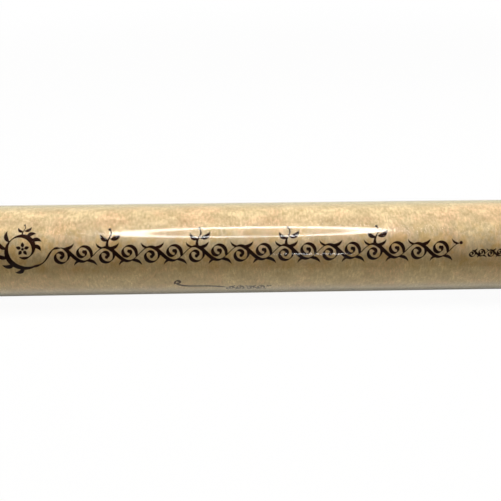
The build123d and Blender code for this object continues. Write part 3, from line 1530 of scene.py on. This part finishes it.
    def _drape(self) -> None:
        """A dark arch, a half circle carried along the roll, that only the film's gloss sees.

        It is paler behind than in front.
        """
        arc = np.linspace(math.pi, 0.0, 48)
        profile = self.drape_reach * np.column_stack([np.cos(arc), np.sin(arc)])
        ends = np.array([-self.drape_half_length, self.drape_half_length])
        grid = np.stack(np.broadcast_arrays(ends[None, :], profile[:, :1], profile[:, 1:]), axis=-1)
        number = np.arange(grid.shape[0] * 2).reshape(-1, 2)
        quads = np.stack([number[:-1, 0], number[1:, 0], number[1:, 1], number[:-1, 1]], axis=-1)
        drape = stage_mesh("dark_drape", grid.reshape(-1, 3), quads, SeenBy.GLOSS_ONLY)
        material, desk, glow = glowing("drape_grey", self.drape_levels[1])
        back = desk.along(desk.object_place(), "Y")
        desk.fill(glow, {"Strength": desk.ramp(back, *self.drape_grows, self.drape_levels)})
        drape.data.materials.append(material)


def seen_directly(desk: NodeDesk) -> Socket:
    """Tells a ray from the camera, a mirrored ray or a ray through something clear from others.

    Args:
        desk: The desk of the tree that asks.

    Returns:
        1 for such a ray, otherwise 0.
    """
    rays = desk.add("LightPath").outputs
    either = desk.math("MAXIMUM", rays["Is Camera Ray"], rays["Is Glossy Ray"])
    return desk.math("MAXIMUM", either, rays["Is Transmission Ray"])


def glowing(name: str, strength: float) -> tuple[Material, NodeDesk, Node]:
    """Makes a material that gives off plain white light.

    Args:
        name: The name of the material.
        strength: How bright it is. 1 is white.

    Returns:
        The material, a desk for its nodes and the node that glows.
    """
    material = bpy.data.materials.new(name)
    desk = NodeDesk.cleared(material)
    glow = desk.add("Emission", {"Strength": strength})
    desk.add("OutputMaterial", {"Surface": glow.outputs[0]})
    return material, desk, glow


def stage_mesh(name: str, points: Array, quads: Array, seen_by: SeenBy) -> Piece:
    """Makes a piece of the studio.

    Args:
        name: The name of the piece.
        points: Its points, in millimetres.
        quads: Point numbers of each of its faces.
        seen_by: The rays that meet it.

    Returns:
        The piece.
    """
    mesh = bpy.data.meshes.new(name)
    mesh.from_pydata((points * MM).tolist(), [], quads.tolist())
    mesh.update()
    piece = bpy.data.objects.new(name, mesh)
    bpy.context.scene.collection.objects.link(piece)
    if seen_by is SeenBy.GLOSS_ONLY:
        piece.visible_camera = False
        piece.visible_diffuse = False
        piece.visible_transmission = False
        piece.visible_volume_scatter = False
        piece.visible_shadow = False
    return piece


@dataclass
class PhotoCamera:
    """The camera where the photograph was taken from."""

    target: Triple = (-80.0, 0.0, 12.33)
    azimuth: float = -1.816
    elevation: float = 25.0
    distance: float = 230.0
    sensor_width: float = 36.0
    focal_share: float = 737.8 / 501.0
    clip_start: float = 0.005

    def build(self) -> None:
        """Places the camera and makes it the scene's own."""
        side, up = math.radians(self.azimuth), math.radians(self.elevation)
        back = Vector((math.sin(side) * math.cos(up), -math.cos(side) * math.cos(up), math.sin(up)))
        lens = bpy.data.cameras.new("photo_camera")
        lens.sensor_width = self.sensor_width
        lens.lens = self.sensor_width * self.focal_share
        lens.clip_start = self.clip_start
        holder = bpy.data.objects.new("photo_camera", lens)
        holder.location = (Vector(self.target) + back * self.distance) * MM
        holder.rotation_euler = (-back).to_track_quat("-Z", "Y").to_euler()
        bpy.context.scene.collection.objects.link(holder)
        bpy.context.scene.camera = holder


def report(piece: Piece, node: str | None = None) -> None:
    """Logs a piece's size in millimetres, and how far its box is from its node's.

    Args:
        piece: The piece.
        node: The node that it stands for, if it does.
    """
    corners = np.array([corner[:] for corner in piece.bound_box])
    low, high = corners.min(axis=0), corners.max(axis=0)
    size = " x ".join(f"{side / MM:.2f}" for side in high - low)
    log.info("%s: %s mm, %d faces", piece.name, size, len(piece.data.polygons))
    if node:
        node_low, node_high = (np.array(corner[:]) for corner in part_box(node))
        gap = max(np.abs(low - node_low).max(), np.abs(high - node_high).max()) / MM
        log.info("%s is within %.2f mm of %s", piece.name, gap, node)


def main() -> None:
    """Builds the scroll, its studio and its camera."""
    logging.basicConfig(level=logging.INFO, format="%(name)s: %(message)s")
    bpy.context.scene.view_settings.view_transform = "Standard"
    PhotoCamera().build()
    Studio().build()
    path = RollPath()
    patterns = SheetPatterns.build()

    sheet = ParchmentSheet(path)
    sheet_piece = sheet.build()
    sheet.dress(sheet_piece, ParchmentFinish(), patterns)
    report(sheet_piece, "rolled_sheet")

    ornament = PrintedOrnament(path)
    ink = InkFinish().material(patterns)
    for name, marks in ornament.parts().items():
        ink_piece = ornament.build(name, marks)
        ornament.dress(ink_piece, ink)
        report(ink_piece)

    sleeve = FilmSleeve()
    sleeve_piece = sleeve.build()
    sleeve.dress(sleeve_piece, FilmFinish())
    report(sleeve_piece, "clear_sleeve")


if __name__ == "__main__":
    main()
